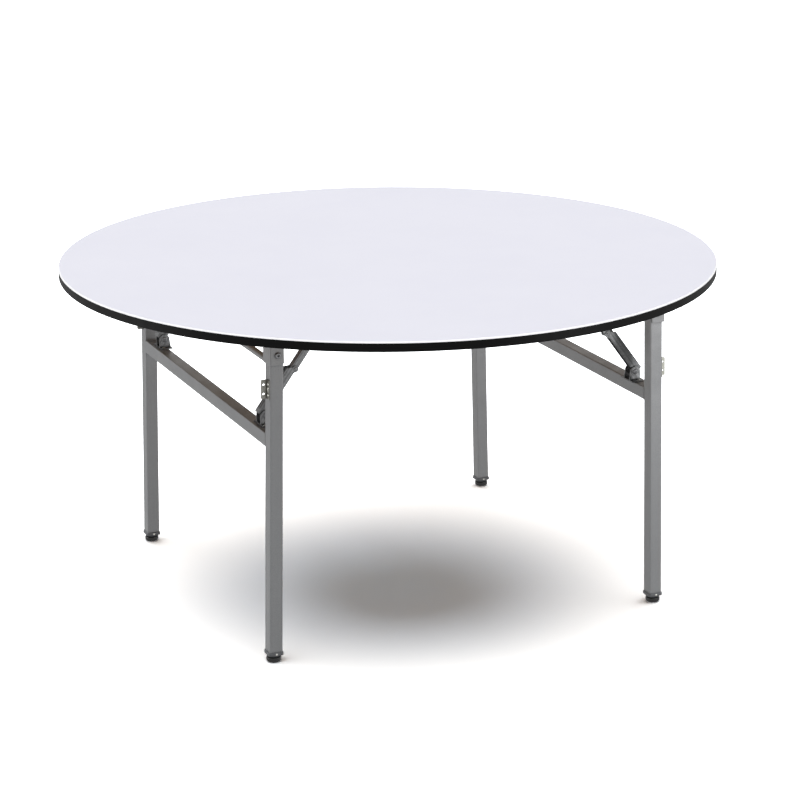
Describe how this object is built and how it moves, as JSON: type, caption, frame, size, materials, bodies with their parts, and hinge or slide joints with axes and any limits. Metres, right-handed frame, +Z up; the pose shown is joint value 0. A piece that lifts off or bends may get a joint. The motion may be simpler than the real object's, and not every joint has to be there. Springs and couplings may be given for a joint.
{
  "type": "round folding table",
  "caption": "Round banquet table with a white laminate face and a black edge, on two hinged square-tube leg frames with jointed folding braces.",
  "frame": {"origin": "on the floor, straight below the centre of the board", "axes": "+Z up out of the board's face; X from the left leg frame to the right one, across the hinge lines; Y along the hinge lines, front towards -Y"},
  "size_m": [1.4998, 1.4998, 0.764],
  "materials": {
    "white_laminate": "satin white laminate",
    "plywood": "bare plywood",
    "edge_black": "black edge band, satin",
    "frame_paint": "silver grey satin paint",
    "zinc_fastener": "zinc plated",
    "spacer_white": "natural nylon",
    "zinc_sheet": "zinc plated pressed sheet",
    "yellow_zinc": "yellow passivated zinc plated sheet",
    "collar_grey": "grey plastic",
    "glide_black": "black"
  },
  "bodies": {
    "table_top": {"table_top_laminate": "white_laminate", "plywood_core": "plywood", "bottom_veneer": "plywood", "edge_band": "edge_black", "hinge_bracket_left_back": "frame_paint", "hinge_bracket_left_front": "frame_paint", "hinge_bracket_right_back": "frame_paint", "hinge_bracket_right_front": "frame_paint", "hinge_screws": "zinc_fastener", "pivot_bolts": "zinc_fastener", "pivot_nuts": "zinc_fastener", "hinge_spacers": "spacer_white", "top_bracket_left_back": "zinc_sheet", "top_bracket_left_front": "zinc_sheet", "top_bracket_right_back": "zinc_sheet", "top_bracket_right_front": "zinc_sheet", "top_bracket_screws": "zinc_fastener", "top_pins": "zinc_fastener"},
    "left_frame": {"leg_left_back": "frame_paint", "leg_left_front": "frame_paint", "crossbar_left": "frame_paint", "upper_rail_left": "frame_paint", "crossbar_bracket_left_back": "zinc_sheet", "crossbar_bracket_left_front": "zinc_sheet", "crossbar_rivets_left": "zinc_fastener", "brace_pins_left": "zinc_fastener", "angle_plate_left_back": "yellow_zinc", "angle_plate_left_front": "yellow_zinc", "angle_plate_rivets_left": "zinc_fastener", "foot_collar_left_back": "collar_grey", "foot_collar_left_front": "collar_grey"},
    "left_lower_links": {"lower_link_left_back": "zinc_sheet", "lower_link_left_front": "zinc_sheet", "knee_rivets_left": "zinc_fastener"},
    "left_upper_links": {"upper_link_left_back": "zinc_sheet", "upper_link_left_front": "zinc_sheet"},
    "right_frame": {"leg_right_back": "frame_paint", "leg_right_front": "frame_paint", "crossbar_right": "frame_paint", "upper_rail_right": "frame_paint", "crossbar_bracket_right_back": "zinc_sheet", "crossbar_bracket_right_front": "zinc_sheet", "crossbar_rivets_right": "zinc_fastener", "brace_pins_right": "zinc_fastener", "angle_plate_right_back": "yellow_zinc", "angle_plate_right_front": "yellow_zinc", "angle_plate_rivets_right": "zinc_fastener", "foot_collar_right_back": "collar_grey", "foot_collar_right_front": "collar_grey"},
    "right_lower_links": {"lower_link_right_back": "zinc_sheet", "lower_link_right_front": "zinc_sheet", "knee_rivets_right": "zinc_fastener"},
    "right_upper_links": {"upper_link_right_back": "zinc_sheet", "upper_link_right_front": "zinc_sheet"},
    "left_back_glide": {"foot_glide_left_back": "glide_black"},
    "left_front_glide": {"foot_glide_left_front": "glide_black"},
    "right_back_glide": {"foot_glide_right_back": "glide_black"},
    "right_front_glide": {"foot_glide_right_front": "glide_black"}
  },
  "joints": [
    {"name": "left_frame_fold", "type": "hinge", "parent": "table_top", "child": "left_frame", "pos_m": [-0.4413, 0, 0.688], "axis": [0, -1, 0], "range_deg": [0, 88.6]},
    {"name": "left_lower_link_turn", "type": "hinge", "parent": "left_frame", "child": "left_lower_links", "pos_m": [-0.43771, 0, 0.53138], "axis": [0, -1, 0], "range_deg": [0, 50.1]},
    {"name": "left_upper_link_turn", "type": "hinge", "parent": "table_top", "child": "left_upper_links", "pos_m": [-0.30325, 0, 0.71234], "axis": [0, -1, 0], "range_deg": [-26.7, 0]},
    {"name": "right_frame_fold", "type": "hinge", "parent": "table_top", "child": "right_frame", "pos_m": [0.4413, 0, 0.688], "axis": [0, 1, 0], "range_deg": [0, 91.3]},
    {"name": "right_lower_link_turn", "type": "hinge", "parent": "right_frame", "child": "right_lower_links", "pos_m": [0.43771, 0, 0.53138], "axis": [0, 1, 0], "range_deg": [0, 54.7]},
    {"name": "right_upper_link_turn", "type": "hinge", "parent": "table_top", "child": "right_upper_links", "pos_m": [0.30325, 0, 0.71234], "axis": [0, 1, 0], "range_deg": [-22.5, 0]},
    {"name": "left_back_glide_level", "type": "slide", "parent": "left_frame", "child": "left_back_glide", "axis": [-0.023, 0, -0.9997], "range_m": [0, 0.008]},
    {"name": "left_front_glide_level", "type": "slide", "parent": "left_frame", "child": "left_front_glide", "axis": [-0.023, 0, -0.9997], "range_m": [0, 0.008]},
    {"name": "right_back_glide_level", "type": "slide", "parent": "right_frame", "child": "right_back_glide", "axis": [0.023, 0, -0.9997], "range_m": [0, 0.008]},
    {"name": "right_front_glide_level", "type": "slide", "parent": "right_frame", "child": "right_front_glide", "axis": [0.023, 0, -0.9997], "range_m": [0, 0.008]}
  ],
  "couplings": [
    {"joint": "left_lower_link_turn", "follows": "left_frame_fold", "ratio": 0.56369},
    {"joint": "left_upper_link_turn", "follows": "left_frame_fold", "ratio": -0.29897},
    {"joint": "right_lower_link_turn", "follows": "right_frame_fold", "ratio": 0.5964},
    {"joint": "right_upper_link_turn", "follows": "right_frame_fold", "ratio": -0.24463}
  ]
}
